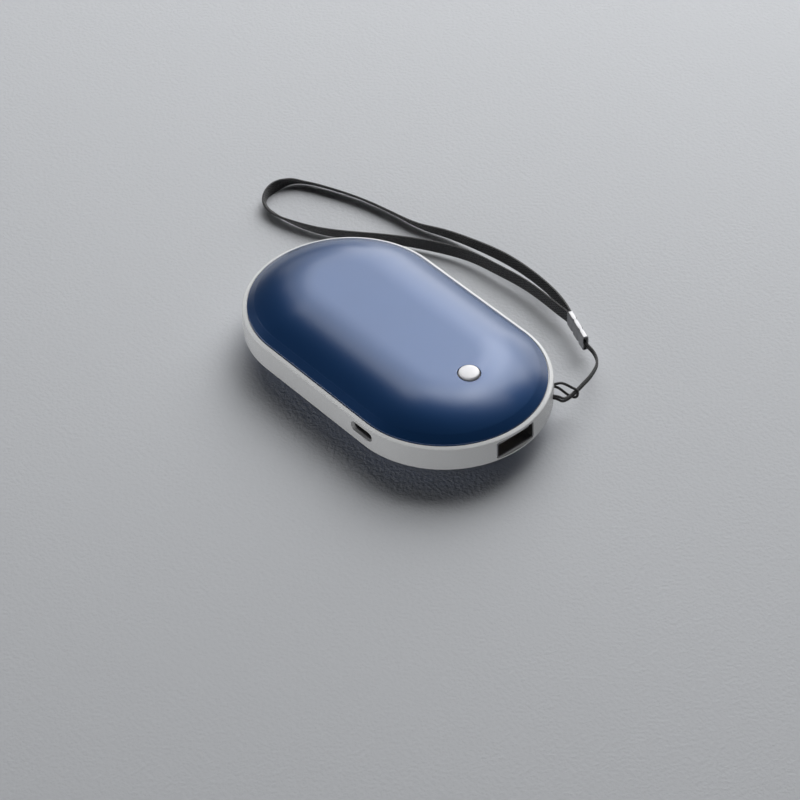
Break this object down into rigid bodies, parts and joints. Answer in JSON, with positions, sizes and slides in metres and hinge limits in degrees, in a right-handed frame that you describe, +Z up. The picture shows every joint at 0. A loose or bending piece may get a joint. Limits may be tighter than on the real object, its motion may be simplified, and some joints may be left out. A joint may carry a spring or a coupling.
{
  "type": "rechargeable hand warmer",
  "caption": "Pill-shaped pocket hand warmer: domed blue metal shells on a pale plastic rim, push button, output and charging sockets, and a wrist strap hitched to the rim.",
  "frame": {"origin": "middle of the lower shell's flat crown, on the surface that the warmer lies on", "axes": "+X along the length towards the output socket, +Y away from the charging socket, +Z up towards the button"},
  "size_m": [0.1424, 0.0864, 0.0247],
  "materials": {
    "shell_blue": "satin anodised",
    "rim_white": "satin",
    "button_white": "gloss",
    "inner_plastic": "moulded",
    "guide_white": "moulded",
    "board_green": "solder mask",
    "socket_metal": "plated",
    "contact_gold": "plated",
    "pouch": "laminate",
    "foam": "open",
    "film_amber": "film",
    "lead_sleeve": "smooth",
    "screw_steel": "plated",
    "strap_black": "woven",
    "ferrule_metal": "brushed"
  },
  "bodies": {
    "housing": {"top_shell": "shell_blue", "bottom_shell": "shell_blue", "rim_frame": "rim_white", "chassis": "inner_plastic", "button_tower": "guide_white", "tact_switch": "inner_plastic", "main_board": "board_green", "indicator_leds": "guide_white", "power_inductor": "inner_plastic", "control_chips": "inner_plastic", "board_capacitors": "pouch", "usb_a_shell": "socket_metal", "usb_a_tongue": "inner_plastic", "usb_a_contacts": "contact_gold", "charge_port_shell": "socket_metal", "charge_port_tongue": "inner_plastic", "battery_cell": "pouch", "battery_board": "board_green", "battery_leads": "lead_sleeve", "top_heater": "film_amber", "bottom_heater": "film_amber", "top_pad": "foam", "bottom_pad": "foam", "heater_leads": "lead_sleeve", "thermistor": "inner_plastic", "chassis_screws": "screw_steel", "board_screws": "screw_steel", "strap_cord": "strap_black", "strap_ferrule": "ferrule_metal", "strap_band": "strap_black"},
    "button": {"button_cap": "button_white", "switch_plunger": "lead_sleeve"}
  },
  "joints": [
    {"name": "button_press", "type": "slide", "parent": "housing", "child": "button", "axis": [0, 0, 1], "range_m": [-0.0003, 0], "stiffness_N_per_m": 4000, "springref_m": 0.0001}
  ]
}
